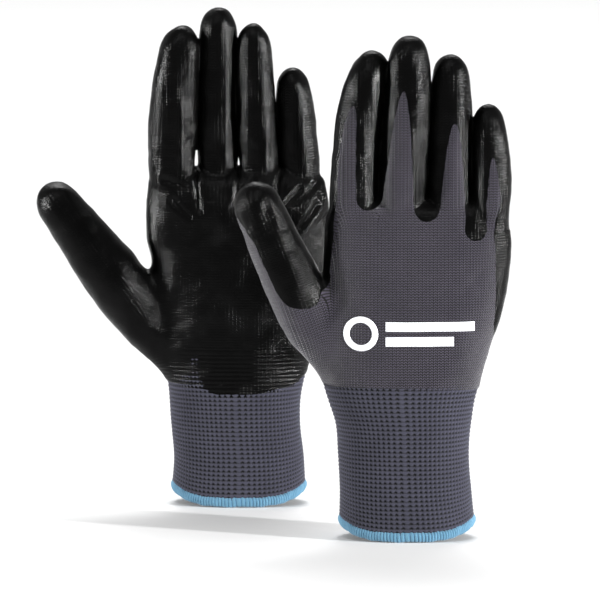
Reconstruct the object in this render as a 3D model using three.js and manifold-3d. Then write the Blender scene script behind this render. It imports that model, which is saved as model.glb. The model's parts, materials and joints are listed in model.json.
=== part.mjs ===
// A pair of seamless knitted work gloves with a dipped coating on the palm, fingers and thumb.
// Millimetres, +Z up. Both gloves stand on their hems, fingers up, thumbs towards -X.
// The left glove's palm faces -Y. The right glove stands in front of it with its back to -Y.
// Each finger and thumb is cut at its two bends, so that it can curl towards the palm.

import * as THREE from 'three';
import { mergeVertices } from 'three/addons/utils/BufferGeometryUtils.js';
import Module from 'manifold-3d';

const wasm = await Module();
wasm.setup();

// Walls, counted inwards from the outer face of the coating
const coatingWall = 0.6;
const linerFace = 0.9;
const linerWall = 1.3;
const hemProud = 0.5;
const gap = 0.3;

// Heights above the hem's lower edge
const hemHeight = 5;
const cuffTop = 70;
const coatingBottom = 56;
const palmTop = 164;

// Bends: how far the fold line lies in from the palm-side face, and how far each bend turns
const foldDepth = 5;
const bendAngle = { finger: 88, thumb: 50 };
const bendMargin = 2;
const front = foldDepth + 1.5;
const back = 30;

// The hand, as height, shift towards the little finger, half width and half depth
const stations = [
  [0, 0, 33.5, 21],
  [8, 0, 33, 20.5],
  [40, 0, 32.3, 19],
  [62, 0, 34, 18.5],
  [85, 0.2, 38, 17],
  [110, 0.7, 42.3, 16],
  [135, 0.95, 44.6, 15],
  [155, 1, 44, 13.5],
  [palmTop, 1, 40, 8],
];
const handSides = 16;
const fingerSides = 10;

// Width and depth of each finger at its root, the height of its tip and of its first bend
const fingerSizes = {
  index: { width: 20.6, depth: 19, tip: 236, bend: 174 },
  middle: { width: 19, depth: 19, tip: 245, bend: 175 },
  ring: { width: 17.6, depth: 18, tip: 237, bend: 174 },
  little: { width: 17, depth: 17, tip: 213, bend: 169 },
};
const fingerRootHeight = 142;

// The thumb, as distance along its axis and radius
const thumbProfile = [[-12, 6], [2, 10.5], [22, 13.6], [45, 15.4], [66, 14], [84, 11.4], [103, 10.2]];
const thumbLength = 113;
const thumbBends = [68, 90];
const thumbTurn = new THREE.Vector2(0.35, 0.94);

// How each glove is held: where each finger starts and ends across the hand, and the thumb's root
// and lean. The pad is where the thumb's coated side faces, across the hand and towards the palm.
const gloves = [
  {
    name: 'left',
    palm: -1,
    place: [-40, 56],
    knuckleShift: 0,
    fingers: { index: [-32.4, -28.8], middle: [-10.6, -10], ring: [9.6, 8], little: [30.4, 27] },
    thumb: { root: [-29, 66], lean: 36, pad: [0.5, 0.87] },
  },
  {
    name: 'right',
    palm: 1,
    place: [42, -56],
    knuckleShift: 4.5,
    fingers: { index: [-27.8, -18.6], middle: [-4.6, 1.2], ring: [17.6, 21.2], little: [38, 40.6] },
    thumb: { root: [-37, 68], lean: 20.5, pad: [1, -0.1] },
  },
];

const finishes = {
  knit: { color: 0x54515b, roughness: 0.95, metalness: 0 },
  rib: { color: 0x4d4c57, roughness: 0.95, metalness: 0 },
  hemYarn: { color: 0x6aa7cf, roughness: 0.9, metalness: 0 },
  coating: { color: 0x0d0d0e, roughness: 0.35, metalness: 0 },
};

function solidOf(geometry) {
  const bare = geometry.clone();
  bare.deleteAttribute('normal');
  bare.deleteAttribute('uv');
  const merged = mergeVertices(bare, 1e-4);
  return new wasm.Manifold(new wasm.Mesh({
    numProp: 3,
    vertProperties: new Float32Array(merged.attributes.position.array),
    triVerts: new Uint32Array(merged.index.array),
  }));
}

function meshOf(solid, name, finish) {
  const data = solid.getMesh();
  const geometry = new THREE.BufferGeometry();
  geometry.setAttribute('position', new THREE.BufferAttribute(data.vertProperties, 3));
  geometry.setIndex(new THREE.BufferAttribute(data.triVerts, 1));
  geometry.computeVertexNormals();
  const mesh = new THREE.Mesh(geometry, new THREE.MeshStandardMaterial(finishes[finish]));
  mesh.name = name;
  return mesh;
}

function union(solids) {
  return solids.reduce((whole, solid) => whole.add(solid));
}

function block(low, high) {
  const size = low.map((value, i) => high[i] - value);
  const geometry = new THREE.BoxGeometry(...size);
  geometry.translate(...low.map((value, i) => value + size[i] / 2));
  return solidOf(geometry);
}

// A closed round shape about +Z, from its outline of radius and height
function turned(outline, sides) {
  const points = outline.map(([radius, height]) => new THREE.Vector2(radius, height));
  const geometry = new THREE.LatheGeometry(points, sides);
  geometry.rotateX(Math.PI / 2);
  return geometry;
}

// The hand and cuff without fingers, with every face moved in by inset
function palmForm(glove, inset) {
  const foot = inset > 0 ? -4 : 0;
  const heights = stations.map(([z], i) => (i === 0 ? z + foot : z));
  const last = stations.length - 1;
  heights[last] -= inset;
  const outline = heights.map((z) => [1, z]);
  const geometry = turned([[0, heights[0]], ...outline, [0, heights[last]]], handSides);
  const position = geometry.attributes.position;
  for (let i = 0; i < position.count; i += 1) {
    const z = position.getZ(i);
    const station = stations[heights.findIndex((height) => Math.abs(height - z) < 1e-3)];
    const x = position.getX(i) * (station[2] - inset) + station[1] * glove.knuckleShift;
    position.setXYZ(i, x, position.getY(i) * (station[3] - inset), z);
  }
  return solidOf(geometry);
}

// A finger or thumb: a round-ended limb with its frame of side, palm and along directions
function limbForm(limb, inset) {
  const end = limb.profile[limb.profile.length - 1][1] - inset;
  const top = limb.length - inset;
  const start = limb.profile[0][0] + inset;
  const body = limb.profile.map(([along, radius], i) => [radius - inset, i === 0 ? start : along]);
  const shoulder = limb.profile[limb.profile.length - 1][0];
  const cap = [0.4, 0.75].map((part) => {
    const height = shoulder + (top - shoulder) * part;
    return [end * Math.sqrt(1 - part * part), height];
  });
  const geometry = turned([[0, start], ...body, ...cap, [0, top]], fingerSides);
  geometry.scale(1, limb.flatness, 1);
  geometry.applyMatrix4(limb.frame);
  return solidOf(geometry);
}

function frameOf(origin, along, palmward) {
  const side = new THREE.Vector3().crossVectors(palmward, along).normalize();
  const palm = new THREE.Vector3().crossVectors(along, side).normalize();
  return new THREE.Matrix4().makeBasis(side, palm, along).setPosition(origin);
}

function fingerLimb(glove, name) {
  const size = fingerSizes[name];
  const [rootX, tipX] = glove.fingers[name];
  const root = new THREE.Vector3(rootX, 0, fingerRootHeight);
  const tip = new THREE.Vector3(tipX, 0, size.tip);
  const length = root.distanceTo(tip);
  const along = tip.sub(root).normalize();
  const radius = size.width / 2;
  const bend = (size.bend - fingerRootHeight) / along.z;
  return {
    name,
    length,
    profile: [[0, radius], [0.55 * length, 0.97 * radius], [length - radius, 0.88 * radius]],
    flatness: size.depth / size.width,
    frame: frameOf(root, along, new THREE.Vector3(0, glove.palm, 0)),
    bends: [bend, (bend + length) / 2],
    fold: size.depth / 2 - foldDepth,
    halfAngle: bendAngle.finger / 2 + bendMargin,
    lane: radius + 0.4,
    pad: new THREE.Vector3(0, glove.palm, 0),
  };
}

function thumbLimb(glove) {
  const { root, lean, pad } = glove.thumb;
  const angle = THREE.MathUtils.degToRad(lean);
  const along = new THREE.Vector3(-Math.sin(angle), 0, Math.cos(angle));
  const turn = new THREE.Vector3(thumbTurn.x, thumbTurn.y * glove.palm, 0);
  const depthHere = 13;
  return {
    name: 'thumb',
    length: thumbLength,
    profile: thumbProfile,
    flatness: 0.94,
    frame: frameOf(new THREE.Vector3(root[0], 0, root[1]), along, turn),
    bends: thumbBends,
    fold: depthHere - foldDepth,
    halfAngle: bendAngle.thumb / 2 + bendMargin,
    lane: 20,
    pad: new THREE.Vector3(pad[0], pad[1] * glove.palm, 0),
  };
}

// The space beyond one bend of a limb, or between its two bends. On the palm side the faces slope
// away from the fold line, which leaves room for the bend to close.
function stretchOf(limb, from, to) {
  const slope = front * Math.tan(THREE.MathUtils.degToRad(limb.halfAngle));
  const half = gap / 2;
  const outline = [[-back, from + half], [limb.fold, from + half], [limb.fold + front, from + half + slope]];
  if (to === undefined) {
    outline.push([limb.fold + front, limb.length + 5], [-back, limb.length + 5]);
  } else {
    outline.push([limb.fold + front, to - half - slope], [limb.fold, to - half], [-back, to - half]);
  }
  return laneOf(limb, outline);
}

// The space that a limb's first bend needs, taken out of the hand
function clearanceOf(limb) {
  const slope = front * Math.tan(THREE.MathUtils.degToRad(limb.halfAngle));
  const from = limb.bends[0] - gap / 2;
  const top = limb.length + 5;
  return laneOf(limb, [[-back, from], [limb.fold, from], [limb.fold + front, from - slope],
    [limb.fold + front, top], [-back, top]]);
}

function laneOf(limb, outline) {
  const shape = new THREE.Shape(outline.map(([palm, along]) => new THREE.Vector2(palm, along)));
  const geometry = new THREE.ExtrudeGeometry(shape, { depth: 2 * limb.lane, bevelEnabled: false });
  geometry.translate(0, 0, -limb.lane);
  const turn = new THREE.Matrix4().makeBasis(
    new THREE.Vector3(0, 1, 0), new THREE.Vector3(0, 0, 1), new THREE.Vector3(1, 0, 0));
  geometry.applyMatrix4(turn);
  geometry.applyMatrix4(limb.frame);
  return solidOf(geometry);
}

// The half of space on a limb's coated side, with a strip past its sides, plus its whole tip
function coatedSide(limb, withTip) {
  const origin = new THREE.Vector3().setFromMatrixPosition(limb.frame);
  const along = new THREE.Vector3().setFromMatrixColumn(limb.frame, 2);
  const reach = 150;
  const wrap = 4;
  const geometry = new THREE.BoxGeometry(2 * reach, reach, 2 * reach);
  geometry.translate(0, reach / 2 - wrap, 0);
  geometry.applyMatrix4(frameOf(origin, along, limb.pad));
  const side = solidOf(geometry);
  if (!withTip) return side;
  const tip = new THREE.BoxGeometry(80, 80, 60);
  tip.translate(0, 0, limb.length - 18 + 30);
  tip.applyMatrix4(limb.frame);
  return side.add(solidOf(tip));
}

function gloveOf(glove) {
  const limbs = [...Object.keys(fingerSizes).map((name) => fingerLimb(glove, name)), thumbLimb(glove)];
  const form = (inset) => union([palmForm(glove, inset), ...limbs.map((limb) => limbForm(limb, inset))]);
  const wall = form(linerFace).subtract(form(linerFace + linerWall));
  const skin = form(0).subtract(form(coatingWall));
  const clearance = union(limbs.map(clearanceOf));
  const far = 200;
  const level = (low, high) => block([-far, -far, low], [far, far, high]);
  const group = new THREE.Group();
  const put = (solid, part, finish) => group.add(meshOf(solid, `${glove.name}_${part}`, finish));

  const hemWall = palmForm(glove, linerFace - hemProud).subtract(palmForm(glove, linerFace + linerWall));
  put(hemWall.intersect(level(0, hemHeight)), 'hem', 'hemYarn');
  put(wall.intersect(level(hemHeight + gap, cuffTop)), 'rib_cuff', 'rib');
  put(wall.intersect(level(cuffTop + gap, far * 2)).subtract(clearance), 'hand_liner', 'knit');
  const palmSide = glove.palm > 0 ? block([-far, -4, coatingBottom], [far, far, 2 * far])
    : block([-far, -far, coatingBottom], [far, 4, 2 * far]);
  put(skin.intersect(palmSide).subtract(clearance), 'palm_coating', 'coating');

  for (const limb of limbs) {
    const base = stretchOf(limb, limb.bends[0], limb.bends[1]);
    const tip = stretchOf(limb, limb.bends[1]);
    const liner = limbForm(limb, linerFace).subtract(limbForm(limb, linerFace + linerWall));
    const coating = limbForm(limb, 0).subtract(limbForm(limb, coatingWall));
    put(liner.intersect(base), `${limb.name}_base`, 'knit');
    put(liner.intersect(tip), `${limb.name}_tip`, 'knit');
    put(coating.intersect(base).intersect(coatedSide(limb, false)), `${limb.name}_base_coating`, 'coating');
    put(coating.intersect(tip).intersect(coatedSide(limb, true)), `${limb.name}_tip_coating`, 'coating');
  }
  group.position.set(glove.place[0], glove.place[1], 0);
  return group;
}

const pair = new THREE.Group();
for (const glove of gloves) {
  pair.add(gloveOf(glove));
}

// The origin is the middle of the pair's box, at the level of the hems
const middle = new THREE.Box3().setFromObject(pair).getCenter(new THREE.Vector3());
pair.position.set(-middle.x, -middle.y, 0);

export default pair;
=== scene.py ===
# A pair of knitted work gloves with a black dipped coating, standing on their hems
import json
import math

import bmesh
import bpy
import numpy as np
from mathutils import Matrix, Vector, noise
from mathutils.bvhtree import BVHTree


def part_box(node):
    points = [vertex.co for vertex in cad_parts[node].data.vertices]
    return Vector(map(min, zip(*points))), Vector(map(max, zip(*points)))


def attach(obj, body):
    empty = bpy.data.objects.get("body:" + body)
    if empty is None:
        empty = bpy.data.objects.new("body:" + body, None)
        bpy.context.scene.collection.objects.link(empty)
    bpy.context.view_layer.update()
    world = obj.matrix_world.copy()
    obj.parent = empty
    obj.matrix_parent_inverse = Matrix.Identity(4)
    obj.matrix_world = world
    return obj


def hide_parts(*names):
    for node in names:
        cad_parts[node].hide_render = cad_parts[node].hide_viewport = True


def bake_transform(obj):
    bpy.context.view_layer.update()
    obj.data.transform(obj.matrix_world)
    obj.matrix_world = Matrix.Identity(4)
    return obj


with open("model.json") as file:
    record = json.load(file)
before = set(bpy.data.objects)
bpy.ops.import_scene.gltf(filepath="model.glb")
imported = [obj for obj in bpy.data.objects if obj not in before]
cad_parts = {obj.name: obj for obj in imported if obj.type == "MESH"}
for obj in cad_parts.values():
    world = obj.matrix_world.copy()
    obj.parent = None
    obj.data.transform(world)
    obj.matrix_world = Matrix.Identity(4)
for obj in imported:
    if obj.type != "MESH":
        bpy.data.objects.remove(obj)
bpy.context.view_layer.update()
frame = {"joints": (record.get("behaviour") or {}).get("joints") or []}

mm = 0.001
fingerNames = ["index", "middle", "ring", "little"]
joints = {joint["name"]: joint for joint in frame["joints"]}

# Every shape below is in millimetres. Across is measured from the middle of the hem towards the little
# finger, and up is measured from the floor.

hand = {
    "levels": [-6, 6, 22, 40, 56, 66, 76, 90, 110, 133, 150, 158, 166],
    "halfWidth": [33.6, 33, 32, 31.6, 32.2, 33.8, 36, 39, 42.6, 44.8, 44.2, 43.2, 41.5],
    "halfDepth": [20.2, 20, 19.2, 18.2, 17.6, 17.3, 17, 16.6, 16, 14.8, 12.8, 11.4, 9],
    "squareness": 0.86, "topRound": 8, "sides": 72, "rings": 90,
}
fingerDepth = {"index": 0.93, "middle": 0.93, "ring": 0.93, "little": 0.96}
fingerTipRound = 1.15
fingersFrom = 150

gloves = {
    "left": {
        "palm": -1, "heelBare": -4, "heelFrom": (66, 92), "crotch": (-46.5, 123), "swellFrom": (159, 171),
        "shift": [0, 0, 0, -1, -1, -0.3, 0.8, 1, 0.8, 0, -0.6, -0.8, -0.8],
        "fingers": {
            "index": {"up": [142, 166, 188, 210, 235.2], "across": [-32, -32.6, -32.1, -30.4, -27.4],
                      "half": [10.6, 11.5, 12.2, 11.4, 9.6], "lift": [0.6, 1, 1.6, 2.2, 3.2]},
            "middle": {"up": [142, 166, 188, 212, 244.4], "across": [-10.4, -10.2, -10.6, -10.3, -9.6],
                       "half": [9.4, 10.2, 10.4, 9.9, 9.2], "lift": [-0.6, -1.2, -1.6, -1.2, 0]},
            "ring": {"up": [142, 166, 188, 212, 236.8], "across": [11.2, 10.2, 8.9, 8.1, 7.5],
                     "half": [9.2, 9.6, 9.9, 9.3, 8.1], "lift": [0.6, 1, 1.4, 1.8, 2.6]},
            "little": {"up": [142, 160, 176, 194, 215], "across": [32.7, 31.1, 29.2, 27.8, 26.2],
                       "half": [9.2, 9.3, 9.95, 9.55, 8], "lift": [-0.6, -1, -1.2, -0.8, 0]},
        },
        "thumbHalf": [[-12, 7, 0], [4, 11, 1], [24, 13.2, 1], [45, 15, 1], [62, 14.4, 0.6],
                      [80, 12.2, 0.2], [98, 10.8, 0], [112, 10.4, 0]],
        "flare": [0, 0, 0, 0.4, 1.2, 1.8, 2, 1, 0, 0, 0, 0, 0],
        "pad": (0.72, 0.69), "padReach": [[0, 126], [30, 130], [60, 134], [82, 140], [96, 160], [104, 200]],
    },
    "right": {
        "palm": 1, "heelBare": 7, "heelFrom": (-10, 0), "crotch": (-44, 128), "swellFrom": (152, 168),
        "shift": [0, 0, -0.8, -1.2, -1, -1.2, -0.8, 0.4, 3, 4.6, 5.2, 5, 5],
        "fingers": {
            "index": {"up": [142, 166, 188, 210, 236.8], "across": [-26.6, -25.8, -24.4, -21.6, -16.8],
                      "half": [11.4, 11.9, 11.8, 11.3, 9.4], "lift": [0.6, 1, 1.4, 1.8, 2.4]},
            "middle": {"up": [142, 166, 188, 212, 244.4], "across": [-3.2, -2.4, -1.2, 0.3, 1.1],
                       "half": [10.6, 11.5, 11.7, 11.3, 9.6], "lift": [-0.6, -1.2, -1.6, -1.2, 0]},
            "ring": {"up": [142, 166, 188, 212, 234.8], "across": [20, 20.4, 20.7, 21, 20.8],
                     "half": [10.4, 11.3, 11.1, 10.5, 8.4], "lift": [0.6, 1, 1.4, 1.8, 2.6]},
            "little": {"up": [142, 160, 176, 192, 211], "across": [41, 40.9, 40.6, 40, 39],
                       "half": [8.9, 9.2, 9.4, 8.8, 7.2], "lift": [-0.6, -1, -1.2, -0.8, 0]},
        },
        "thumbHalf": [[0, 4, 4], [14, 8.5, 4.2], [28, 11.6, 3.8], [45, 13.6, 2.8], [62, 13.9, 2],
                      [80, 12.6, 0.8], [98, 11.6, 0], [112, 10.8, 0]],
        "flare": [0, 0, 0, 0.4, 1.6, 3, 4, 2, 0, 0, 0, 0, 0],
        "pad": (1, -0.12), "padReach": [[0, 84], [30, 88], [50, 112], [84, 124], [98, 160], [106, 200]],
    },
}
thumb = {"root": {"left": (-29, 66), "right": (-37, 68)}, "lean": {"left": 36, "right": 20.5},
         "length": 112, "depth": 0.92, "tipRound": 12.5}


def smooth(low, high, value):
    t = np.clip((value - low) / (high - low), 0, 1)
    return t * t * (3 - 2 * t)


def along(table, value):
    stations = np.array(table, float)
    return np.interp(value, stations[:, 0], stations[:, 1])


def curveThrough(levels, values, at):
    # A smooth curve through the points, with each point's slope taken from its neighbours
    levels, values = np.array(levels, float), np.array(values, float)
    slopes = np.gradient(values, levels)
    k = np.clip(np.searchsorted(levels, at, side="right") - 1, 0, len(levels) - 2)
    width = levels[k + 1] - levels[k]
    t = np.clip((at - levels[k]) / width, 0, 1)
    a, b = 2 * t**3 - 3 * t**2 + 1, -2 * t**3 + 3 * t**2
    c, d = t**3 - 2 * t**2 + t, t**3 - t**2
    return a * values[k] + b * values[k + 1] + width * (c * slopes[k] + d * slopes[k + 1])


def gloveMiddle(side):
    low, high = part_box(side + "_hem")
    return np.array([(low[0] + high[0]) / 2, (low[1] + high[1]) / 2, 0]) / mm


def handSize(side, up):
    levels = hand["levels"]
    flare = curveThrough(levels, gloves[side]["flare"], up) / 2
    shift = curveThrough(levels, gloves[side]["shift"], up) - flare
    halfWidth = curveThrough(levels, hand["halfWidth"], up) + flare
    return shift, halfWidth, curveThrough(levels, hand["halfDepth"], up)


def handBeside(side, z):
    # The hand's place and size level with a point, held at the top of the palm beside the fingers
    return handSize(side, np.clip(z, 0, 160))


def handPoint(side, up, turn, proud=0):
    # A point on the hand or cuff, at a height and a turn round from the thumb's side
    shift, halfWidth, halfDepth = handSize(side, up)
    cos, sin = np.cos(turn), np.sin(turn)
    power = hand["squareness"]
    x = shift + (halfWidth + proud) * np.sign(cos) * np.abs(cos) ** power
    y = (halfDepth + proud) * np.sign(sin) * np.abs(sin) ** power
    return np.stack([x, y, up + 0 * x], axis=-1)


def deselectAll():
    if bpy.context.object and bpy.context.object.mode != "OBJECT":
        bpy.ops.object.mode_set(mode="OBJECT")
    bpy.ops.object.select_all(action="DESELECT")


def pick(obj):
    deselectAll()
    obj.select_set(True)
    bpy.context.view_layer.objects.active = obj


def applyModifier(obj, kind, **settings):
    pick(obj)
    modifier = obj.modifiers.new(kind, kind)
    for key, value in settings.items():
        setattr(modifier, key, value)
    bpy.ops.object.modifier_apply(modifier=modifier.name)


def joined(objects, name):
    deselectAll()
    for obj in objects:
        obj.select_set(True)
    bpy.context.view_layer.objects.active = objects[0]
    bpy.ops.object.join()
    bpy.context.object.name = name
    return bpy.context.object


def weld(obj):
    # Merges the doubles where a sheet meets itself, then turns every face outwards
    mesh = bmesh.new()
    mesh.from_mesh(obj.data)
    bmesh.ops.remove_doubles(mesh, verts=mesh.verts, dist=2e-6)
    bmesh.ops.recalc_face_normals(mesh, faces=mesh.faces)
    mesh.to_mesh(obj.data)
    mesh.free()


def points(obj):
    co = np.empty(len(obj.data.vertices) * 3, np.float32)
    obj.data.vertices.foreach_get("co", co)
    return co.reshape(-1, 3).astype(float)


def normals(obj):
    no = np.empty(len(obj.data.vertices) * 3, np.float32)
    obj.data.vertex_normals.foreach_get("vector", no)
    return no.reshape(-1, 3).astype(float)


def movePoints(obj, co):
    obj.data.vertices.foreach_set("co", np.asarray(co, np.float32).ravel())
    obj.data.update()


def storeVector(obj, name, values):
    attribute = obj.data.attributes.get(name) or obj.data.attributes.new(name, "FLOAT_VECTOR", "POINT")
    attribute.data.foreach_set("vector", np.asarray(values, np.float32).ravel())


def storeValue(obj, name, values):
    attribute = obj.data.attributes.get(name) or obj.data.attributes.new(name, "FLOAT", "POINT")
    attribute.data.foreach_set("value", np.asarray(values, np.float32))


def readVector(obj, name):
    values = np.empty(len(obj.data.vertices) * 3, np.float32)
    obj.data.attributes[name].data.foreach_get("vector", values)
    return values.reshape(-1, 3).astype(float)


def readValue(obj, name):
    values = np.empty(len(obj.data.vertices), np.float32)
    obj.data.attributes[name].data.foreach_get("value", values)
    return values.astype(float)


def ball(name, segments, rings):
    # A ball with its turn about the upright and its part of the way up, ready to be drawn out into a form
    deselectAll()
    bpy.ops.mesh.primitive_uv_sphere_add(segments=segments, ring_count=rings, radius=1, location=(0, 0, 0))
    obj = bpy.context.object
    obj.name = name
    co = points(obj)
    turn = np.arctan2(co[:, 1], co[:, 0])
    part = np.arccos(np.clip(-co[:, 2], -1, 1)) / math.pi
    pole = np.hypot(co[:, 0], co[:, 1]) < 1e-4
    return obj, turn, part, pole


def drawnOut(part, low, high):
    return low + (high - low) * (1 - np.cos(math.pi * part)) / 2


def roundedEnds(up, low, high, footLength, tipLength):
    # The share of a limb's girth that is left near its foot and its rounded tip
    past = np.clip((up - (high - tipLength)) / tipLength, 0, 1)
    return np.sqrt(np.clip(1 - past**2, 0, 1)) * np.clip((up - low) / footLength, 0, 1) ** 0.5


def fingerCentre(side, name, up):
    spec = gloves[side]["fingers"][name]
    palm = gloves[side]["palm"]
    return (curveThrough(spec["up"], spec["across"], up),
            palm * curveThrough(spec["up"], spec["lift"], up), curveThrough(spec["up"], spec["half"], up))


def thumbAxis(side):
    lean = math.radians(thumb["lean"][side])
    direction = np.array([-math.sin(lean), 0, math.cos(lean)])
    root = np.array([thumb["root"][side][0], 0, thumb["root"][side][1]])
    across = np.array([math.cos(lean), 0, math.sin(lean)])
    return root, direction, across


def buildHandForm(side):
    obj, turn, part, pole = ball(side + "_hand_form", hand["sides"], hand["rings"])
    high = hand["levels"][-1]
    up = drawnOut(part, hand["levels"][0], high)
    co = handPoint(side, up, turn)
    nearTop = np.clip((up - high) / hand["topRound"] + 1, 0, 1)
    closing = np.sqrt(1 - nearTop**2)
    shift = handSize(side, up)[0]
    co[:, 0] = shift + (co[:, 0] - shift) * (0.55 + 0.45 * closing)
    co[:, 1] *= 0.05 + 0.95 * closing
    co[pole, 0] = shift[pole]
    co[pole, 1] = 0
    movePoints(obj, co * mm)
    return obj


def buildFingerForm(side, name):
    spec = gloves[side]["fingers"][name]
    obj, turn, part, _ = ball(f"{side}_{name}_form", 36, 64)
    low, high = spec["up"][0], spec["up"][-1]
    up = drawnOut(part, low, high)
    x, y, half = fingerCentre(side, name, up)
    half = half - coating["proud"] - surface["fingerShy"]
    radius = half * roundedEnds(up, low, high, 4, spec["half"][-1] * fingerTipRound)
    co = np.stack([x + radius * np.cos(turn), y + fingerDepth[name] * radius * np.sin(turn), up], axis=-1)
    movePoints(obj, co * mm)
    return obj


def buildThumbForm(side):
    obj, turn, part, _ = ball(side + "_thumb_form", 40, 72)
    table = gloves[side]["thumbHalf"]
    low, high = table[0][0], thumb["length"]
    s = drawnOut(part, low, high)
    levels = [row[0] for row in table]
    radius = curveThrough(levels, [row[1] for row in table], s)
    radius = radius * roundedEnds(s, low, high, 6, thumb["tipRound"])
    root, direction, across = thumbAxis(side)
    aside = curveThrough(levels, [row[2] for row in table], s)
    co = root + s[:, None] * direction + (aside + radius * np.cos(turn))[:, None] * across
    co[:, 1] += thumb["depth"] * radius * np.sin(turn)
    movePoints(obj, co * mm)
    return obj


# The forms are joined and remeshed into one skin, then evened out more at the heel and finger bases
surface = {"voxel": 0.95, "smoothing": 9, "lastSmoothing": 2, "fingerShy": 0.35}
heel = {"smoothing": 420, "along": (48, 62), "aside": (12, 20), "up": (42, 56)}
bases = {"smoothing": 26, "from": (146, 156), "to": (170, 182), "palmSide": (1, 6)}


def smoothWhere(obj, strength, iterations):
    # Smooths the surface where the strength, from nought to one, says so
    group = obj.vertex_groups.new(name="smoothed")
    steps = np.round(strength, 1)
    for step in np.unique(steps[steps > 0]):
        group.add([int(i) for i in np.flatnonzero(steps == step)], float(step), "REPLACE")
    applyModifier(obj, "SMOOTH", factor=0.6, iterations=iterations, vertex_group="smoothed")
    obj.vertex_groups.clear()


def crotchPlace(side):
    # Where the thumb parts from the hand, along the thumb and across it
    root, direction, across = thumbAxis(side)
    x, z = gloves[side]["crotch"]
    off = np.array([x, 0, z]) - root
    return off @ direction, off @ across


def easeHeel(obj, side):
    # Smooths the valley where the thumb's root runs into the palm and wrist
    co = points(obj) / mm
    root, direction, _ = thumbAxis(side)
    shift, halfWidth, _ = handBeside(side, co[:, 2])
    outside = shift - halfWidth - co[:, 0]
    valley = 1 - smooth(*heel["along"], (co - root) @ direction)
    valley = valley * (1 - smooth(*heel["aside"], np.abs(outside + 4))) * smooth(*heel["up"], co[:, 2])
    smoothWhere(obj, valley, heel["smoothing"])


def easeBases(obj, side):
    # Lets each finger run into the palm without a step
    co = points(obj) / mm
    towardsPalm = co[:, 1] * gloves[side]["palm"]
    up = smooth(*bases["from"], co[:, 2]) * (1 - smooth(*bases["to"], co[:, 2]))
    smoothWhere(obj, up * smooth(*bases["palmSide"], towardsPalm), bases["smoothing"])


def swellFingers(obj, side):
    # Brings each finger back to its own girth above the webs, so that neighbours all but touch
    co = points(obj) / mm
    places = limbPlaces(side, co)
    for k, name in enumerate(fingerNames):
        spec = gloves[side]["fingers"][name]
        on = (places["limb"] == k) & (places["thumb"] < 0.5)
        x, y, z = co[on].T
        cx, cy, half = fingerCentre(side, name, z)
        girth = half - coating["proud"]
        depth = fingerDepth[name]
        reach = np.hypot(x - cx, (y - cy) / depth)
        top = spec["up"][-1] - spec["half"][-1] * fingerTipRound
        w = smooth(*gloves[side]["swellFrom"], z) * (1 - smooth(top - 6, top + 3, z))
        scale = 1 + w * (np.clip(girth / reach, 0.9, 1.2) - 1)
        co[on, 0] = cx + (x - cx) * scale
        co[on, 1] = cy + (y - cy) * scale
    movePoints(obj, co * mm)


def buildSurface(side):
    forms = [buildHandForm(side), buildThumbForm(side)]
    forms += [buildFingerForm(side, name) for name in fingerNames]
    obj = joined(forms, side + "_surface")
    applyModifier(obj, "REMESH", mode="VOXEL", voxel_size=surface["voxel"] * mm)
    applyModifier(obj, "SMOOTH", factor=0.5, iterations=surface["smoothing"])
    easeHeel(obj, side)
    swellFingers(obj, side)
    easeBases(obj, side)
    applyModifier(obj, "SMOOTH", factor=0.5, iterations=surface["lastSmoothing"])
    return obj


def limbPlaces(side, co):
    # Which limb each point is on, how far along it, and where round it
    palm = gloves[side]["palm"]
    x, y, z = co.T
    limb = np.full(len(co), -1)
    offX, offPalm, half = x * 0, y * palm, np.full(len(co), 40.0)
    best = np.full(len(co), 1e9)
    for k, name in enumerate(fingerNames):
        cx, cy, radius = fingerCentre(side, name, z)
        distance = np.abs(x - cx) / radius
        closer = (distance < best) & (z > fingersFrom)
        best = np.where(closer, distance, best)
        limb = np.where(closer, k, limb)
        offX = np.where(closer, x - cx, offX)
        offPalm = np.where(closer, (y - cy) * palm, offPalm)
        half = np.where(closer, radius, half)
    root, direction, across = thumbAxis(side)
    s = (co - root) @ direction
    t = (co - root) @ across
    shift, halfWidth, _ = handBeside(side, z)
    outside = (shift - x) - halfWidth
    thumbness = smooth(-3, 5, outside) * smooth(8, 24, s)
    thumbness = np.where(np.hypot(t, y) < 24, thumbness, 0) * (s > 0)
    return {"limb": limb, "offX": offX, "offPalm": offPalm, "half": half,
            "thumb": thumbness, "s": s, "t": t}


def roundedMeet(a, b, radius):
    # Inside both, with the corner between their edges rounded off
    corner = radius - np.hypot(np.maximum(radius - a, 0), np.maximum(radius - b, 0))
    return np.where((a < radius) & (b < radius), corner, np.minimum(a, b))


thumbCoat = {"wrapFrom": 46, "palmSide": 40, "corner": 13}


def thumbCoated(side, co, places):
    # The thumb's coating covers its pad, and the whole of it above a rounded lower edge
    spec = gloves[side]
    pad = np.array([spec["pad"][0], spec["pad"][1] * spec["palm"]])
    pad /= np.linalg.norm(pad)
    t, y = places["t"], co[:, 1]
    radius = np.hypot(t, y) + 1e-6
    angle = np.degrees(np.arccos(np.clip((t * pad[0] + y * pad[1]) / radius, -1, 1)))
    inside = np.radians(along(spec["padReach"], places["s"]) - angle) * radius
    dorsal = -co[:, 1] * spec["palm"]
    lowEdge = places["s"] - thumbCoat["wrapFrom"] + thumbCoat["palmSide"] * smooth(3, -3, dorsal)
    return roundedMeet(inside, lowEdge, thumbCoat["corner"])


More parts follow.
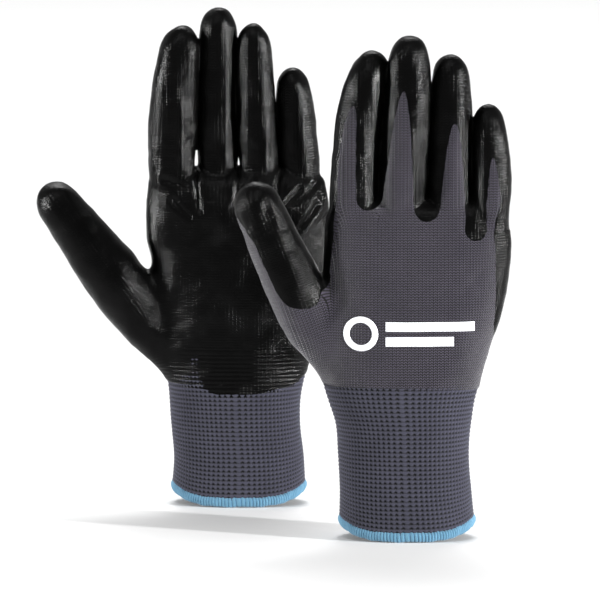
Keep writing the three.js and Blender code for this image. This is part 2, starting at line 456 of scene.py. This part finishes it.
# The grey backs: how far each finger's bare strip sits off its middle, its half width and its top
bareStrips = {
    "index": {"off": -3.8, "half": 4.8, "top": 211, "blunt": 0.36},
    "middle": {"off": -2, "half": 7.4, "top": 219, "blunt": 0.55},
    "ring": {"off": 1.6, "half": 5.6, "top": 203, "blunt": 0.5},
    "little": {"off": 1, "half": 3.2, "top": 186, "blunt": 0.5},
}
webBottoms = [160.5, 155.5, 146]
sideStrips = {"index": 2.4, "little": [[88, -3], [105, 2.5], [130, 6.5], [150, 8]]}


def stripEdges(side, name, z):
    spec = bareStrips[name]
    centre, _, _ = fingerCentre(side, name, np.clip(z, fingersFrom, 240))
    half = spec["half"] * np.clip((spec["top"] - z) / (spec["top"] - 167), 0, 1.25) ** spec["blunt"]
    half = np.where(z > spec["top"], -(z - spec["top"]) * 0.5, half)
    lean = spec["off"] * (1 + 0.25 * np.clip((z - 167) / 40, 0, 1))
    return centre + lean - half, centre + lean + half


def backCoated(side, co):
    # Millimetres inside the coating on the back of the hand, below nought where the knit is bare
    x, _, z = co.T
    edges = [stripEdges(side, name, z) for name in fingerNames]
    inside = np.full(len(x), -20.0)
    for k, bottom in enumerate(webBottoms):
        left, right = edges[k][1], edges[k + 1][0]
        middle, half = (left + right) / 2, (right - left) / 2
        lateral = half - np.abs(x - middle)
        low = z - bottom
        rounded = half - np.hypot(x - middle, np.minimum(low - half, 0))
        inside = np.maximum(inside, np.where(low < half, rounded, lateral))
    inside = np.where(z > 138, inside, np.minimum(inside, 0) - 0.1 * (138 - z))
    shift, halfWidth, _ = handBeside(side, z)
    littleStrip = along(sideStrips["little"], z)
    fingerEdge = edges[3][1]
    handEdge = shift + halfWidth - littleStrip
    w = smooth(146, 168, z)
    inside = np.maximum(inside, x - (handEdge * (1 - w) + fingerEdge * w))
    indexEdge = shift - halfWidth + sideStrips["index"]
    w = smooth(125, 158, z)
    boundary = indexEdge * (1 - w) + edges[0][0] * w
    return np.maximum(inside, np.minimum(boundary - x, z - gloves[side]["crotch"][1]))


coatingEdge = {"across": [-40, -28, -18, -8, 10, 20, 29, 36],
               "up": [62, 59.5, 57.5, 55.8, 55.4, 57.6, 60.4, 65]}
coating = {"proud": 0.5, "tucked": -0.6, "edge": 1.1, "raggedness": 0.3, "crotch": 7,
           "sideRoom": 2.5, "sideRoomUp": (90, 130)}


def coatedDepth(side, co, places):
    # Millimetres inside the coating all over the glove
    spec = gloves[side]
    x, y, z = co.T
    towardsPalm = y * spec["palm"]
    across = x - handBeside(side, z)[0]
    bare = spec["heelBare"] * smooth(*spec["heelFrom"], z)
    sideRoom = coating["sideRoom"] - coating["sideRoom"] * smooth(*coating["sideRoomUp"], z)
    sideRoom = sideRoom + bare * smooth(-15, -30, across) * smooth(118, 95, z)
    front = np.where(z > fingersFrom, places["offPalm"], towardsPalm) - sideRoom
    lower = z - np.interp(x - handSize(side, 60 + 0 * z)[0], coatingEdge["across"], coatingEdge["up"])
    back = backCoated(side, co)
    inside = np.minimum(np.maximum(front, back), lower)
    w = places["thumb"]
    inside = inside * (1 - w) + thumbCoated(side, co, places) * w
    crotchX, crotchZ = spec["crotch"]
    return np.maximum(inside, coating["crotch"] - np.hypot(x - crotchX, z - crotchZ))


def rolled(off, half, deep, depth):
    # A distance measured round the side of a limb and not straight across it
    sideways = smooth(0.45, 1, np.abs(off) / half)
    return off + np.sign(off) * np.maximum(depth - np.abs(deep), 0) * sideways


def weaveCoordinates(side, co, places):
    # Across and up in millimetres along the cloth, for the knit's columns and rows
    x, y, z = co.T
    crotchX, crotchZ = gloves[side]["crotch"]
    reach, aside = crotchPlace(side)
    shift, halfWidth, halfDepth = handBeside(side, z)
    w = smooth(-8, 8, shift - halfWidth - x) * smooth(0, 30, places["s"])
    onHand = shift + rolled(x - shift, halfWidth, y, halfDepth)
    offX, half = places["offX"], places["half"]
    onFinger = x - offX + rolled(offX, half, places["offPalm"], half)
    upFinger = smooth(fingersFrom, fingersFrom + 15, z)
    onHand = onHand * (1 - upFinger) + onFinger * upFinger
    across = onHand * (1 - w) + (rolled(places["t"], 14, y, 13) - aside + crotchX) * w
    up = z * (1 - w) + (places["s"] - reach + crotchZ) * w
    return np.stack([across, up, w], axis=-1)


# The creases run from the first place, at full depth, to the second: across, up, across, up, depth
folds = {
    "facets": {"across": 6, "along": 20, "height": 0.65},
    "slack": {"size": 15, "height": 0.6}, "pucker": {"size": 5.5, "height": 0.2},
    "bends": {"length": 4.6, "height": 0.04, "spread": 6},
    "pads": {"height": 1.3, "level": 147, "across": 8, "up": 9},
    "creases": [[-21.5, 164, -19, 146, 1.5], [0, 166, -1.5, 148, 1.5], [20, 163, 17, 144, 1.6],
                [30, 156, 12, 137, 1.2], [38, 148, 22, 127, 1.2], [-36, 161, -25, 157, 0.7],
                [40, 160, 27, 149, 1.3], [-32, 151, -24, 143, 0.8], [8, 160, 13, 152, 0.9]],
}


def creaseDepth(x, z):
    # Short sharp folds where the fingers pull on the palm
    out = np.zeros(len(x))
    for x0, z0, x1, z1, depth in folds["creases"]:
        span = np.array([x1 - x0, z1 - z0])
        t = np.clip(((x - x0) * span[0] + (z - z0) * span[1]) / (span @ span), 0, 1)
        away = np.hypot(x - x0 - t * span[0], z - z0 - t * span[1])
        section = 0.45 * np.exp(-((away - 3) / 1.7) ** 2) - np.exp(-(away / 1.3) ** 2)
        out += depth * section * (1 - 0.6 * t)
    return out


def foldHeights(side, co, places):
    # How far slack, creases and pads lift the cloth off its smooth form
    spec = gloves[side]
    seed = Vector((3.1, 7.7, 1.3)) if side == "left" else Vector((9.4, 2.2, 5.8))
    slack, pucker = folds["slack"], folds["pucker"]
    facet = folds["facets"]
    out = np.zeros(len(co))
    for i, p in enumerate(co):
        v = Vector(p)
        out[i] = slack["height"] * noise.noise(v / slack["size"] + seed)
        out[i] += pucker["height"] * noise.noise(v / pucker["size"] + seed)
        if v.z > fingersFrom:
            drawn = Vector((v.x / facet["across"], v.y / facet["across"], v.z / facet["along"]))
            out[i] += facet["height"] * noise.noise(drawn + seed)
    z, front = co[:, 2], places["offPalm"]
    bends = folds["bends"]
    for k, name in enumerate(fingerNames):
        on = places["limb"] == k
        for joint in (f"{side}_{name}_knuckle", f"{side}_{name}_tip_bend"):
            height = joints[joint]["pos_m"][2] / mm
            near = np.exp(-((z - height) / bends["spread"]) ** 2)
            inner = smooth(-4, 5, front)
            wave = np.sin(2 * math.pi * (z - height) / bends["length"] + 0.15 * co[:, 0])
            out += on * near * inner * bends["height"] * (wave - 0.6)
    pads = folds["pads"]
    towardsPalm = co[:, 1] * spec["palm"]
    for name in fingerNames:
        cx = fingerCentre(side, name, np.array([156.0]))[0][0]
        bump = np.exp(-((co[:, 0] - cx) / pads["across"]) ** 2 - ((z - pads["level"]) / pads["up"]) ** 2)
        out += pads["height"] * bump * smooth(4, 10, towardsPalm)
    out += creaseDepth(co[:, 0], z) * smooth(3, 8, towardsPalm)
    return out


def dressSurface(obj, side):
    co = points(obj) / mm
    places = limbPlaces(side, co)
    inside = coatedDepth(side, co, places)
    co += normals(obj) * foldHeights(side, co, places)[:, None]
    movePoints(obj, co * mm)
    rag = np.array([noise.noise(Vector(p) / 2.6) + 0.5 * noise.noise(Vector(p) / 1.1) for p in co])
    inside = inside + coating["raggedness"] * rag
    storeVector(obj, "weave", weaveCoordinates(side, co, places))
    storeValue(obj, "coated", inside)
    storeVector(obj, "rest_normal", normals(obj))
    print(side, "surface has", len(co), "points")


def jointOf(side, name, which):
    return joints[f"{side}_{name}_{which}"]


def limbDirection(side, name):
    first = np.array(jointOf(side, name, "knuckle")["pos_m"])
    second = np.array(jointOf(side, name, "tip_bend")["pos_m"])
    return (second - first) / np.linalg.norm(second - first)


bendReach = {"finger": 9.5, "little": 8, "thumb": 9}


def cutPlanes(side, name):
    # Planes across a limb a little before and after each of its two joints
    kind = name if name in ("little", "thumb") else "finger"
    reach = bendReach[kind] * mm
    direction = limbDirection(side, name)
    planes = []
    for which in ("knuckle", "tip_bend"):
        point = np.array(jointOf(side, name, which)["pos_m"])
        planes.append((point - direction * reach, point + direction * reach))
    return direction, planes


def limbMask(side, name, faceCentres):
    # The faces that belong to one finger or thumb, above its root
    co = faceCentres / mm - gloveMiddle(side)
    if name == "thumb":
        root, direction, across = thumbAxis(side)
        s, t = (co - root) @ direction, (co - root) @ across
        reach, aside = crotchPlace(side)
        return (s > 45) & (t < aside + 0.3 * (s - reach))
    z = co[:, 2]
    distances = []
    for other in fingerNames:
        centre, _, radius = fingerCentre(side, other, z)
        distances.append(np.abs(co[:, 0] - centre) / radius)
    nearest = np.argmin(np.array(distances), axis=0)
    return (nearest == fingerNames.index(name)) & (z > fingersFrom) & (co[:, 0] > -50)


def cutOff(obj, side, name, plane, label):
    # Cuts one limb at a plane and takes what lies beyond as a new object
    direction, point = plane
    mesh = bmesh.new()
    mesh.from_mesh(obj.data)
    mesh.faces.ensure_lookup_table()
    centres = np.array([face.calc_center_median() for face in mesh.faces])
    mask = limbMask(side, name, centres)
    chosen = [face for face, on in zip(mesh.faces, mask) if on]
    geometry = list({v for f in chosen for v in f.verts})
    geometry += list({e for f in chosen for e in f.edges})
    geometry += chosen
    bmesh.ops.bisect_plane(mesh, geom=geometry, plane_co=Vector(point), plane_no=Vector(direction),
                           dist=1e-7)
    mesh.faces.ensure_lookup_table()
    centres = np.array([face.calc_center_median() for face in mesh.faces])
    beyond = limbMask(side, name, centres) & ((centres - point) @ direction > 0)
    for face, on in zip(mesh.faces, beyond):
        face.select_set(bool(on))
    other = mesh.copy()
    bmesh.ops.delete(mesh, geom=[f for f in mesh.faces if f.select], context="FACES")
    bmesh.ops.delete(other, geom=[f for f in other.faces if not f.select], context="FACES")
    mesh.to_mesh(obj.data)
    data = bpy.data.meshes.new(label)
    other.to_mesh(data)
    for slotMaterial in obj.data.materials:
        data.materials.append(slotMaterial)
    mesh.free()
    other.free()
    piece = bpy.data.objects.new(label, data)
    bpy.context.collection.objects.link(piece)
    return piece


def cutLimbs(obj, side, suffix):
    # The hand's own piece, and each limb's base and tip pieces
    pieces = {}
    for name in fingerNames + ["thumb"]:
        direction, planes = cutPlanes(side, name)
        base = cutOff(obj, side, name, (direction, planes[0][0]), f"{side}_{name}_base{suffix}")
        tip = cutOff(base, side, name, (direction, planes[1][0]), f"{side}_{name}_tip{suffix}")
        pieces[name] = (base, tip, planes)
    return pieces


def settle(piece, material):
    # The pieces keep the whole surface's normals, so no seam shows where they meet
    piece.data.materials.clear()
    piece.data.materials.append(material)
    pick(piece)
    bpy.ops.object.shade_smooth()
    rest = readVector(piece, "rest_normal")
    rest /= np.linalg.norm(rest, axis=1)[:, None] + 1e-9
    piece.data.normals_split_custom_set_from_vertices([tuple(n) for n in rest])


def dressPieces(obj, pieces, side, material, handNodes, suffix):
    settle(obj, material)
    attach(obj, side + "_hand")
    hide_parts(*handNodes)
    for name, (base, tip, planes) in pieces.items():
        for part, parent, child, plane in ((base, side + "_hand", f"{side}_{name}_base", planes[0]),
                                           (tip, f"{side}_{name}_base", f"{side}_{name}_tip", planes[1])):
            if len(part.data.polygons) == 0:
                continue
            settle(part, material)
            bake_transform(part)
            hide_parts(child + suffix)


def keepFaces(obj, keepPoint):
    # Deletes the faces that have none of the points to keep
    mesh = bmesh.new()
    mesh.from_mesh(obj.data)
    mesh.verts.ensure_lookup_table()
    doomed = [f for f in mesh.faces if not any(keepPoint[v.index] for v in f.verts)]
    bmesh.ops.delete(mesh, geom=doomed, context="FACES")
    loose = [v for v in mesh.verts if not v.link_faces]
    bmesh.ops.delete(mesh, geom=loose, context="VERTS")
    mesh.to_mesh(obj.data)
    mesh.free()


def copyOf(obj, name):
    new = bpy.data.objects.new(name, obj.data.copy())
    bpy.context.collection.objects.link(new)
    return new


# The liner's lower edge swells over the rib and rolls in, and its knit runs a little way under the coating
lip = {"proud": 0.35, "roll": 2.2, "tuck": 1.5, "fade": 5, "reach": 20, "below": 0.8, "underCoating": 4}


def gloveRibTop(co):
    # The line where the fine knit gathers into the rib
    return rib["top"] - rib["drop"] * smooth(*rib["dropFrom"], co[:, 0])


def buildLiner(source, side, material):
    obj = copyOf(source, side + "_liner_hand")
    co, no = points(obj) / mm, normals(obj)
    above = co[:, 2] - gloveRibTop(co)
    rolledIn = lip["proud"] - lip["tuck"] * np.clip((lip["roll"] - above) / lip["roll"], 0, 2)
    swollen = lip["proud"] * np.exp(-(above - lip["roll"]) / lip["fade"])
    curl = np.where(above < lip["roll"], rolledIn, swollen)
    co += no * np.where(above < lip["reach"], curl, 0)[:, None]
    movePoints(obj, (co + gloveMiddle(side)) * mm)
    keepFaces(obj, (above > -lip["below"]) & (readValue(obj, "coated") < lip["underCoating"]))
    pieces = cutLimbs(obj, side, "_knit")
    dressPieces(obj, pieces, side, material, [side + "_hand_liner"], "")
    return obj


def buildCoating(source, side, material):
    obj = copyOf(source, side + "_coating_hand")
    co, no = points(obj) / mm, normals(obj)
    inside = readValue(obj, "coated")
    part = np.clip(inside / coating["edge"], -1, 1)
    height = np.where(part > 0, coating["proud"] * part, -coating["tucked"] * part)
    co += no * height[:, None]
    movePoints(obj, (co + gloveMiddle(side)) * mm)
    keepFaces(obj, inside > -coating["edge"])
    pieces = cutLimbs(obj, side, "_skin")
    dressPieces(obj, pieces, side, material, [side + "_palm_coating"], "_coating")


def tube(name, columns, rows, place):
    # A closed band: a grid rolled round the wrist, with its outside, lips and inside in one
    deselectAll()
    bpy.ops.mesh.primitive_grid_add(x_subdivisions=columns, y_subdivisions=rows, size=2, location=(0, 0, 0))
    obj = bpy.context.object
    obj.name = name
    co = points(obj)
    turn = (1 - co[:, 0]) * math.pi
    part = (co[:, 1] + 1) / 2
    placed, relief = place(turn, part)
    movePoints(obj, placed)
    storeValue(obj, "relief", relief)
    weld(obj)
    return obj


def finishBand(obj, side, material, node):
    obj.data.materials.append(material)
    pick(obj)
    bpy.ops.object.shade_smooth()
    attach(obj, side + "_hand")
    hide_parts(side + node)


# The rib's top is lower towards the little finger, and its outside is most of the way round its section
rib = {"top": 73.5, "drop": 2.2, "dropFrom": (5, 36), "columns": 84, "rows": 33, "perCell": 6,
       "pit": 0.95, "wall": 1.5, "outside": 0.82, "sag": 0.35}
hem = {"height": 5, "threads": 138, "perThread": 8, "around": 12, "proud": 0.6, "wall": 2, "groove": 0.34,
       "lift": 6.2}


def hemLift(turn):
    # The hem rises at both sides of the wrist
    return hem["lift"] * np.abs(np.cos(turn)) ** 3.2


def cuffRelief(column, row):
    # One knitted loop over each hole: high at the ribs and across each row's arch, low in the hole. The
    # rib's colour takes painted shade where this is low.
    across = np.abs(column - np.floor(column) - 0.5) * 2
    upward = row - np.floor(row)
    arch = upward - 0.2 * (1 - across) ** 2
    hole = np.exp(-((across / 0.72) ** 4) - ((arch - 0.4) / 0.3) ** 2)
    valley = 0.5 * np.cos(2 * math.pi * (upward - 0.42)) + 0.5
    return 1 - np.maximum(hole, valley**1.5 * 0.55)


def buildCuff(side, material):
    columns, rows = rib["columns"] * rib["perCell"], rib["rows"] * rib["perCell"]
    middle = gloveMiddle(side)
    outer = rib["outside"]
    bottom = hem["height"] - 1.5

    def place(turn, part):
        up = np.where(part < outer, part / outer, 1 - (part - outer) / (1 - outer) * 0.98)
        lift = hemLift(turn) * (1 - up) ** 1.5
        height = bottom + lift + (rib["top"] + 1.5 - bottom - lift) * up
        relief = cuffRelief(turn / (2 * math.pi) * rib["columns"], part / outer * rib["rows"])
        loose = smooth(10, 30, height) * (1 - smooth(50, 70, height))
        sag = rib["sag"] * np.sin(turn * 3 + height / 9) * loose
        proud = np.where(part <= outer, (relief - 1) * rib["pit"] + 0.1 + sag, -rib["wall"] + sag)
        return (handPoint(side, height, turn, proud) + middle) * mm, relief

    obj = tube(side + "_cuff", columns, rows, place)
    finishBand(obj, side, material, "_rib_cuff")


def buildHem(side, material):
    columns = hem["threads"] * hem["perThread"]
    middle = gloveMiddle(side)

    def place(turn, part):
        about = part * 2 * math.pi
        slant = turn * hem["threads"] + 0.5 * np.sin(about)
        thread = np.abs(np.sin(slant / 2)) ** 0.7
        thick = hem["wall"] / 2 + hem["proud"]
        swell = 0.14 * np.sin(turn * 5) + 0.12 * np.sin(turn * 13 + 1) + 0.08 * np.sin(turn * 29)
        outward = (thick + swell) * np.cos(about) - hem["wall"] / 2
        outward += hem["groove"] * (thread - 1) * np.cos(about)
        wander = 0.14 * np.sin(turn * 17 + 2) + 0.1 * np.sin(turn * 31)
        upward = hem["height"] / 2 * (1 + (1 - 0.1 * (1 - thread)) * np.sin(about)) + hemLift(turn) + wander
        return (handPoint(side, upward, turn, outward) + middle) * mm, thread

    obj = tube(side + "_hem_band", columns, hem["around"] * 2, place)
    finishBand(obj, side, material, "_hem")


# A plain ring, and bars given as across, up, half length and half height
mark = {
    "ring": {"at": -22.5, "up": 101.2, "outer": 8.4, "inner": 5.4}, "proud": 0.12, "thick": 0.15,
    "bars": [[11, 104.8, 21.5, 2.3], [6, 97.6, 16.5, 2.3]],
}


def layOnBack(obj, tree, side):
    # Drops a flat shape on to the back of the hand
    palm = gloves[side]["palm"]
    middle = gloveMiddle(side)
    flat = points(obj)
    placed = []
    for across, up, _ in flat:
        start = Vector((middle[0] + across * palm, middle[1] - palm * 60, up)) * mm
        hit = tree.ray_cast(start, Vector((0, palm, 0)))[0]
        placed.append(hit - Vector((0, palm, 0)) * mark["proud"] * mm)
    movePoints(obj, placed)
    storeVector(obj, "weave", np.stack([flat[:, 0] * palm, flat[:, 1], 0 * flat[:, 0]], axis=-1))


def buildMark(side, liner, material):
    corners = [v.co for v in liner.data.vertices]
    tree = BVHTree.FromPolygons(corners, [p.vertices for p in liner.data.polygons])
    deselectAll()
    ring = mark["ring"]
    bpy.ops.mesh.primitive_grid_add(x_subdivisions=72, y_subdivisions=4, size=2)
    shapes = [bpy.context.object]
    co = points(shapes[0])
    turn, part = (1 - co[:, 0]) * math.pi, (co[:, 1] + 1) / 2
    radius = ring["inner"] + (ring["outer"] - ring["inner"]) * part
    co[:, 0] = ring["at"] + radius * np.cos(turn)
    co[:, 1] = ring["up"] + radius * np.sin(turn)
    movePoints(shapes[0], co)
    for across, up, half, tall in mark["bars"]:
        bpy.ops.mesh.primitive_grid_add(x_subdivisions=48, y_subdivisions=6, size=2)
        bar = bpy.context.object
        co = points(bar)
        co[:, 0] = across + co[:, 0] * half
        co[:, 1] = up + co[:, 1] * tall
        movePoints(bar, co)
        shapes.append(bar)
    obj = joined(shapes, side + "_mark")
    layOnBack(obj, tree, side)
    weld(obj)
    applyModifier(obj, "SOLIDIFY", thickness=mark["thick"] * mm, offset=0)
    obj.data.materials.append(material)
    bpy.ops.object.shade_smooth()
    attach(obj, side + "_hand")


class Socket:
    # A node socket that takes part in sums, so that shader maths reads as a formula
    def __init__(self, shader, socket):
        self.shader, self.socket = shader, socket

    def math(self, operation, *others):
        values = {i: other for i, other in enumerate((self,) + others)}
        return self.shader.add("ShaderNodeMath", {"operation": operation}, values)

    def __add__(self, other):
        return self.math("ADD", other)

    def __radd__(self, other):
        return self.math("ADD", other)

    def __sub__(self, other):
        return self.math("SUBTRACT", other)

    def __rsub__(self, other):
        return (self * -1) + other

    def __mul__(self, other):
        return self.math("MULTIPLY", other)

    def __rmul__(self, other):
        return self.math("MULTIPLY", other)

    def __truediv__(self, other):
        return self.math("DIVIDE", other)


class Shader:
    # A material with its nodes, made one call at a time
    def __init__(self, name):
        self.material = bpy.data.materials.new(name)
        self.material.use_nodes = True
        self.nodes = self.material.node_tree.nodes
        self.links = self.material.node_tree.links
        self.surface = self.nodes["Principled BSDF"]

    def add(self, kind, settings=None, inputs=None, output=0):
        node = self.nodes.new(kind)
        for key, value in (settings or {}).items():
            setattr(node, key, value)
        for key, value in (inputs or {}).items():
            self.plug(node.inputs[key], value)
        return Socket(self, node.outputs[output])

    def plug(self, target, value):
        if isinstance(value, Socket):
            self.links.new(value.socket, target)
        else:
            target.default_value = value

    def set(self, **inputs):
        for key, value in inputs.items():
            self.plug(self.surface.inputs[key.replace("_", " ")], value)

    def split(self, vector):
        node = self.nodes.new("ShaderNodeSeparateXYZ")
        self.links.new(vector.socket, node.inputs[0])
        return [Socket(self, out) for out in node.outputs]

    def attribute(self, name, output="Vector"):
        return self.add("ShaderNodeAttribute", {"attribute_name": name}, output=output)

    def noise(self, vector, scale, detail=2, roughness=0.5):
        values = {"Vector": vector, "Scale": scale, "Detail": detail, "Roughness": roughness}
        return self.add("ShaderNodeTexNoise", {}, values, output="Fac")

    def mix(self, factor, low, high):
        return self.add("ShaderNodeMix", {"data_type": "RGBA"}, {0: factor, 6: low, 7: high}, output=2)

    def between(self, value, low, high):
        return self.add("ShaderNodeMapRange", {"interpolation_type": "SMOOTHSTEP"},
                        {"Value": value, "From Min": low, "From Max": high})

    def bump(self, height, strength, distance):
        values = {"Height": height, "Strength": strength, "Distance": distance}
        return self.add("ShaderNodeBump", {}, values, output="Normal")


def linear(*srgb):
    # A screen colour from 0 to 255, as the shader's own linear values
    out = [((c / 255 + 0.055) / 1.055) ** 2.4 if c > 10 else c / 255 / 12.92 for c in srgb]
    return (*out, 1)


def stitches(shader, wale, course):
    # The height of plain knitting: columns of small V shapes
    across, up, _ = shader.split(shader.attribute("weave"))
    column = (across / wale).math("FRACT")
    lean = (column - 0.5).math("ABSOLUTE")
    row = (up / course + lean * 1.1).math("FRACT")
    strand = (row - 0.5).math("ABSOLUTE") * 2
    groove = shader.between(lean, 0.5, 0.36)
    return (1 - strand * strand) * (groove * 0.6 + 0.4) * shader.between(lean, 0.0, 0.09)


# The gap colour is painted shade: near black put into the hollows between the stitches
knitLook = {"wale": 1.8, "course": 1.3, "yarn": (64, 59, 71), "gap": (0, 0, 0), "tint": (42, 39, 51)}


def knitMaterial():
    shader = Shader("fine grey knit")
    position = shader.add("ShaderNodeTexCoord", output="Object")
    height = stitches(shader, knitLook["wale"], knitLook["course"])
    cloudy = shader.noise(position, 60, 3)
    speck = shader.noise(position, 1500, 2)
    yarn = shader.mix(cloudy, linear(*knitLook["tint"]), linear(*knitLook["yarn"]))
    # Painted shade: the low parts of the stitch height are darkened to the gap colour, the high parts keep
    # the yarn colour
    shade = shader.between(height * 0.9 + speck * 0.3, 0.5, 0.94)
    shader.set(Base_Color=shader.mix(shade, linear(*knitLook["gap"]), yarn), Roughness=0.92,
               Sheen_Weight=0.6, Sheen_Roughness=0.4, Specular_IOR_Level=0.2)
    shader.set(Normal=shader.bump(height + speck * 0.3, 0.8, 0.0005))
    return shader.material


# The deep colour is painted shade in the rib's holes and between its rows
ribLook = {"yarn": (53, 53, 66), "tint": (37, 37, 49), "deep": (1, 1, 4), "low": 0.22, "high": 0.98}


def ribMaterial():
    shader = Shader("coarse grey rib")
    position = shader.add("ShaderNodeTexCoord", output="Object")
    relief = shader.attribute("relief", "Fac")
    fibre = shader.noise(position, 1800, 2)
    cloudy = shader.noise(position, 70, 3)
    # Painted shade: where the relief is low, in the holes, the yarn is darkened towards the deep colour
    lit = shader.between(relief + fibre * 0.15, ribLook["low"], ribLook["high"])
    yarn = shader.mix(cloudy, linear(*ribLook["tint"]), linear(*ribLook["yarn"]))
    shader.set(Base_Color=shader.mix(lit, linear(*ribLook["deep"]), yarn), Roughness=0.9,
               Sheen_Weight=0.2, Specular_IOR_Level=0.2)
    shader.set(Normal=shader.bump(fibre, 0.4, 0.0002))
    return shader.material


# The deep colour is painted shade in the grooves between the hem's thread wraps
hemLook = {"yarn": (80, 122, 144), "tint": (62, 102, 124), "deep": (50, 92, 122)}


def hemMaterial():
    shader = Shader("light blue hem yarn")
    position = shader.add("ShaderNodeTexCoord", output="Object")
    fibre = shader.noise(position, 2200, 2)
    cloudy = shader.noise(position, 140, 2)
    yarn = shader.mix(cloudy, linear(*hemLook["tint"]), linear(*hemLook["yarn"]))
    # Painted shade: the yarn darkens towards the deep colour in the grooves between the wraps
    thread = shader.between(shader.attribute("relief", "Fac") + fibre * 0.3, 0.25, 0.95)
    shader.set(Base_Color=shader.mix(thread, linear(*hemLook["deep"]), yarn), Roughness=0.8,
               Sheen_Weight=0.3, Specular_IOR_Level=0.3)
    shader.set(Normal=shader.bump(fibre, 0.5, 0.0002))
    return shader.material


# The coating's rows of stitches show through most near the wrist, where it is thin
coatLook = {"colour": (5, 5, 5), "wornColour": (3, 3, 3), "roughness": 0.11, "specular": 0.08,
            "grain": 1.3, "row": 2.05, "rowsFrom": (84, 62)}


def coatingMaterial():
    shader = Shader("black dipped coating")
    position = shader.add("ShaderNodeTexCoord", output="Object")
    ghost = stitches(shader, knitLook["wale"], knitLook["course"])
    grain = shader.noise(position, 1100, 3, 0.6)
    cloudy = shader.noise(position, 90, 3)
    worn = shader.between(cloudy, 0.42, 0.8)
    up = shader.split(shader.attribute("weave"))[1]
    rows = (up * (2 * math.pi / coatLook["row"])).math("SINE") * shader.between(up, *coatLook["rowsFrom"])
    colour = shader.mix(worn, linear(*coatLook["wornColour"]), linear(*coatLook["colour"]))
    shader.set(Base_Color=colour, Roughness=worn * 0.12 + coatLook["roughness"] + grain * 0.06,
               Specular_IOR_Level=coatLook["specular"])
    relief = grain * coatLook["grain"] + ghost * (worn * 0.7 + 0.4) + rows * 0.7
    shader.set(Normal=shader.bump(relief, 0.45, 0.0003))
    return shader.material


inkLook = {"white": (236, 237, 240), "between": (196, 197, 203)}


def inkMaterial():
    shader = Shader("plain white print")
    height = stitches(shader, knitLook["wale"], knitLook["course"])
    colour = shader.mix(height, linear(*inkLook["between"]), linear(*inkLook["white"]))
    shader.set(Base_Color=colour, Roughness=0.6, Specular_IOR_Level=0.3,
               Normal=shader.bump(height, 0.5, 0.0003))
    return shader.material


studio = {"span": 60, "white": 0.77, "world": 0.45}


def buildStudio():
    deselectAll()
    bpy.ops.mesh.primitive_plane_add(size=studio["span"], location=(0, 0, -0.0002))
    floor = bpy.context.object
    floor.name = "floor"
    shader = Shader("white floor")
    shader.set(Base_Color=(studio["white"],) * 3 + (1,), Roughness=0.8, Specular_IOR_Level=0.2)
    floor.data.materials.append(shader.material)
    world = bpy.data.worlds.new("studio white")
    bpy.context.scene.world = world
    world.use_nodes = True
    world.node_tree.nodes["Background"].inputs[0].default_value = (1, 1, 1, 1)
    world.node_tree.nodes["Background"].inputs[1].default_value = studio["world"]


# The strips lie low at both sides and draw upright gleams on the coating. The panel lights the floor
# behind the gloves and leaves their fronts dark.
glovesMiddle = (0, 0, 0.13)
lights = {
    "right strip": {"place": (1.55, -0.75, 0.26), "aim": glovesMiddle, "size": (0.06, 0.5), "power": 4.6,
                    "spread": 40},
    "left strip": {"place": (-1.75, -0.25, 0.26), "aim": glovesMiddle, "size": (0.09, 0.5), "power": 3,
                   "spread": 40},
    "top strip": {"place": (-0.35, -1.1, 1.5), "aim": glovesMiddle, "size": (0.6, 0.3), "power": 0.35,
                  "spread": 40},
    "backdrop panel": {"place": (0, 2, 1.6), "aim": (0, 1.05, 0), "size": (2.4, 2.3), "power": 18.5,
                       "spread": 46},
}


def buildLights():
    for name, spec in lights.items():
        light = bpy.data.lights.new(name, "AREA")
        light.shape = "RECTANGLE"
        light.size, light.size_y = spec["size"]
        light.energy = spec["power"]
        light.spread = math.radians(spec["spread"])
        obj = bpy.data.objects.new(name, light)
        bpy.context.collection.objects.link(obj)
        obj.location = spec["place"]
        towards = Vector(spec["aim"]) - Vector(spec["place"])
        obj.rotation_euler = towards.to_track_quat("-Z", "Y").to_euler()


cameraView = {"elevation": 8, "distance": 8, "span": 0.2925, "aim": (0.0144, 0, 0.1079)}


def buildCamera():
    data = bpy.data.cameras.new("camera")
    data.sensor_width = 36
    data.lens = data.sensor_width * cameraView["distance"] / cameraView["span"]
    data.clip_end = 100
    obj = bpy.data.objects.new("camera", data)
    bpy.context.collection.objects.link(obj)
    lift = math.radians(cameraView["elevation"])
    aim = Vector(cameraView["aim"])
    obj.location = aim + Vector((0, -math.cos(lift), math.sin(lift))) * cameraView["distance"]
    obj.rotation_euler = (aim - obj.location).to_track_quat("-Z", "Y").to_euler()
    bpy.context.scene.camera = obj
    bpy.context.scene.view_settings.view_transform = "Standard"


buildCamera()
buildStudio()
buildLights()
knit, ribKnit, hemYarn = knitMaterial(), ribMaterial(), hemMaterial()
dipped, ink = coatingMaterial(), inkMaterial()
for side in gloves:
    surfaceMesh = buildSurface(side)
    dressSurface(surfaceMesh, side)
    liner = buildLiner(surfaceMesh, side, knit)
    buildMark(side, liner, ink)
    buildCoating(surfaceMesh, side, dipped)
    bpy.data.objects.remove(surfaceMesh)
    buildCuff(side, ribKnit)
    buildHem(side, hemYarn)
    print(side, "glove finished")
